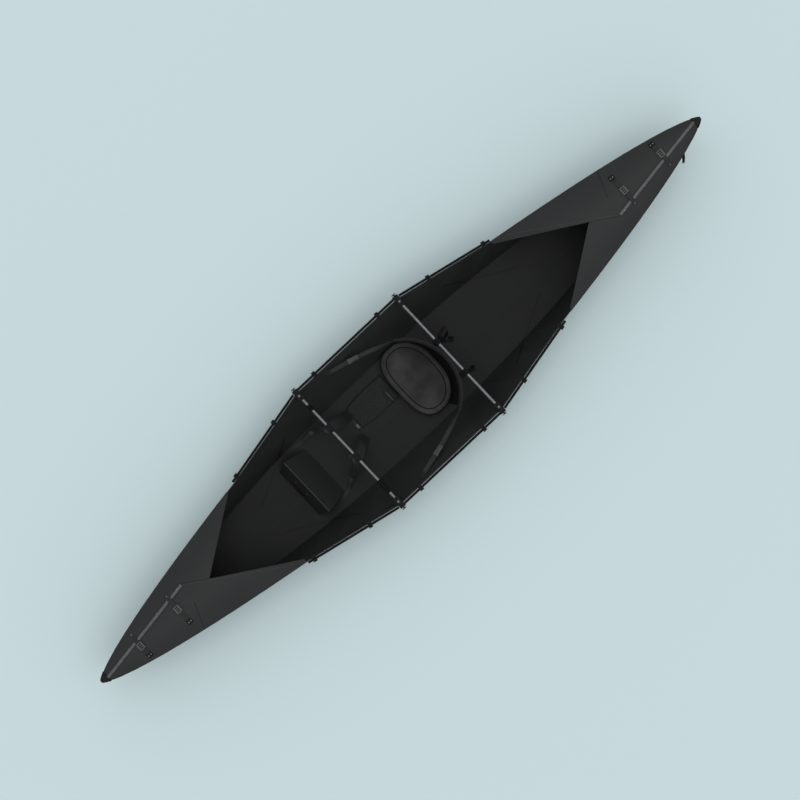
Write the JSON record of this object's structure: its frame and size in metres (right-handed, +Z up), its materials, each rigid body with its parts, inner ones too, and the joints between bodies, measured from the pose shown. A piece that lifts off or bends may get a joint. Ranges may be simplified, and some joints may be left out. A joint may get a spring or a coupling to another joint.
{
  "type": "folding kayak",
  "caption": "Folding kayak of creased plastic sheet with rails along the gunwale, crossbars, a seat, a carrying harness, a foot brace and decks that lift open.",
  "frame": {"origin": "Middle of the whole length and width, at the height of the keel's flat underside.", "axes": "+X towards the bow, +Y to port, +Z up."},
  "size_m": [4.644, 0.93, 0.407],
  "materials": {
    "sheet": "satin, creased",
    "cap": "matte",
    "seam": "satin",
    "rail": "anodised dark grey",
    "tube": "satin",
    "moulded": "matte, moulded",
    "knob": "satin",
    "cushion": "woven cover over foam",
    "webbing": "flat woven webbing",
    "buckle": "satin, moulded"
  },
  "bodies": {
    "hull": {"floor_panel_port": "sheet", "floor_panel_starboard": "sheet", "side_panel_port": "sheet", "side_panel_starboard": "sheet", "end_cap_bow": "cap", "end_cap_stern": "cap", "carry_tab_stern": "webbing", "gunwale_rail_port_bow": "rail", "gunwale_rail_port_mid": "rail", "gunwale_rail_port_stern": "rail", "gunwale_rail_starboard_bow": "rail", "gunwale_rail_starboard_mid": "rail", "gunwale_rail_starboard_stern": "rail", "crossbar_bow": "tube", "crossbar_stern": "tube", "bar_fitting_bow_port": "moulded", "bar_fitting_bow_starboard": "moulded", "bar_fitting_stern_port": "moulded", "bar_fitting_stern_starboard": "moulded", "seat_pad": "cushion", "seat_strap_port": "webbing", "seat_strap_starboard": "webbing", "seat_buckle_port": "buckle", "seat_buckle_starboard": "buckle", "strap_anchor_port": "moulded", "strap_anchor_starboard": "moulded", "harness_panel": "cushion", "harness_handle": "webbing", "shoulder_pad_port": "cushion", "shoulder_pad_starboard": "cushion", "shoulder_webbing_port": "webbing", "shoulder_webbing_starboard": "webbing", "ladder_lock_port": "buckle", "ladder_lock_starboard": "buckle", "sternum_strap_port": "webbing", "sternum_strap_starboard": "webbing"},
    "flap_over_bow": {"deck_flap_over_bow": "sheet", "seam_rail_bow": "seam"},
    "flap_over_stern": {"deck_flap_over_stern": "sheet", "seam_rail_stern": "seam"},
    "flap_under_bow": {"deck_flap_under_bow": "sheet"},
    "flap_under_stern": {"deck_flap_under_stern": "sheet"},
    "strap_bow_inner": {"deck_strap_bow_inner": "webbing", "deck_buckle_bow_inner": "buckle"},
    "strap_bow_outer": {"deck_strap_bow_outer": "webbing", "deck_buckle_bow_outer": "buckle"},
    "strap_stern_inner": {"deck_strap_stern_inner": "webbing", "deck_buckle_stern_inner": "buckle"},
    "strap_stern_outer": {"deck_strap_stern_outer": "webbing", "deck_buckle_stern_outer": "buckle"},
    "knob_bow_port": {"bar_knob_bow_port": "knob"},
    "knob_bow_starboard": {"bar_knob_bow_starboard": "knob"},
    "knob_stern_port": {"bar_knob_stern_port": "knob"},
    "knob_stern_starboard": {"bar_knob_stern_starboard": "knob"},
    "backrest": {"backrest": "cushion", "hanger_loop_port": "webbing", "hanger_loop_starboard": "webbing"},
    "foot_brace": {"foot_brace": "sheet"},
    "foot_pull": {"foot_brace_pull": "webbing"}
  },
  "joints": [
    {"name": "flap_over_bow_lift", "type": "hinge", "parent": "hull", "child": "flap_over_bow", "pos_m": [1.708, 0.186, 0.3387], "axis": [-0.9801, 0.1966, -0.0291], "range_deg": [0, 80]},
    {"name": "flap_under_bow_lift", "type": "hinge", "parent": "hull", "child": "flap_under_bow", "pos_m": [1.708, -0.186, 0.3387], "axis": [0.9801, 0.1966, 0.0291], "range_deg": [0, 64]},
    {"name": "flap_over_stern_lift", "type": "hinge", "parent": "hull", "child": "flap_over_stern", "pos_m": [-1.68, -0.189, 0.3381], "axis": [0.9811, -0.1913, -0.0289], "range_deg": [0, 80]},
    {"name": "flap_under_stern_lift", "type": "hinge", "parent": "hull", "child": "flap_under_stern", "pos_m": [-1.68, 0.189, 0.3381], "axis": [-0.9811, -0.1913, 0.0289], "range_deg": [0, 64]},
    {"name": "strap_bow_inner_swing", "type": "hinge", "parent": "flap_over_bow", "child": "strap_bow_inner", "pos_m": [1.721, 0.11, 0.3775], "axis": [-1, 0, 0], "range_deg": [0, 100]},
    {"name": "strap_bow_outer_swing", "type": "hinge", "parent": "flap_over_bow", "child": "strap_bow_outer", "pos_m": [2.016, 0.092, 0.3675], "axis": [-1, 0, 0], "range_deg": [0, 100]},
    {"name": "strap_stern_inner_swing", "type": "hinge", "parent": "flap_over_stern", "child": "strap_stern_inner", "pos_m": [-1.721, -0.11, 0.3775], "axis": [1, 0, 0], "range_deg": [0, 100]},
    {"name": "strap_stern_outer_swing", "type": "hinge", "parent": "flap_over_stern", "child": "strap_stern_outer", "pos_m": [-2.016, -0.092, 0.3675], "axis": [1, 0, 0], "range_deg": [0, 100]},
    {"name": "knob_bow_port_turn", "type": "hinge", "parent": "hull", "child": "knob_bow_port", "pos_m": [0.405, 0.41, 0.318], "axis": [0, 0, 1], "continuous": true},
    {"name": "knob_bow_starboard_turn", "type": "hinge", "parent": "hull", "child": "knob_bow_starboard", "pos_m": [0.405, -0.41, 0.318], "axis": [0, 0, 1], "continuous": true},
    {"name": "knob_stern_port_turn", "type": "hinge", "parent": "hull", "child": "knob_stern_port", "pos_m": [-0.377, 0.41, 0.318], "axis": [0, 0, 1], "continuous": true},
    {"name": "knob_stern_starboard_turn", "type": "hinge", "parent": "hull", "child": "knob_stern_starboard", "pos_m": [-0.377, -0.41, 0.318], "axis": [0, 0, 1], "continuous": true},
    {"name": "backrest_swing", "type": "hinge", "parent": "hull", "child": "backrest", "pos_m": [-0.377, 0, 0.3], "axis": [0, -1, 0], "range_deg": [0, 35], "deforming": ["seat_strap_port", "seat_strap_starboard"]},
    {"name": "foot_brace_slide", "type": "slide", "parent": "hull", "child": "foot_brace", "axis": [1, 0, 0], "range_m": [0, 0.15]},
    {"name": "foot_pull_swing", "type": "hinge", "parent": "foot_brace", "child": "foot_pull", "pos_m": [0.7784, -0.02, 0.0883], "axis": [0, -1, 0], "range_deg": [0, 90]}
  ],
  "couplings": [
    {"joint": "flap_under_bow_lift", "follows": "flap_over_bow_lift", "ratio": 0.8},
    {"joint": "flap_under_stern_lift", "follows": "flap_over_stern_lift", "ratio": 0.8}
  ]
}
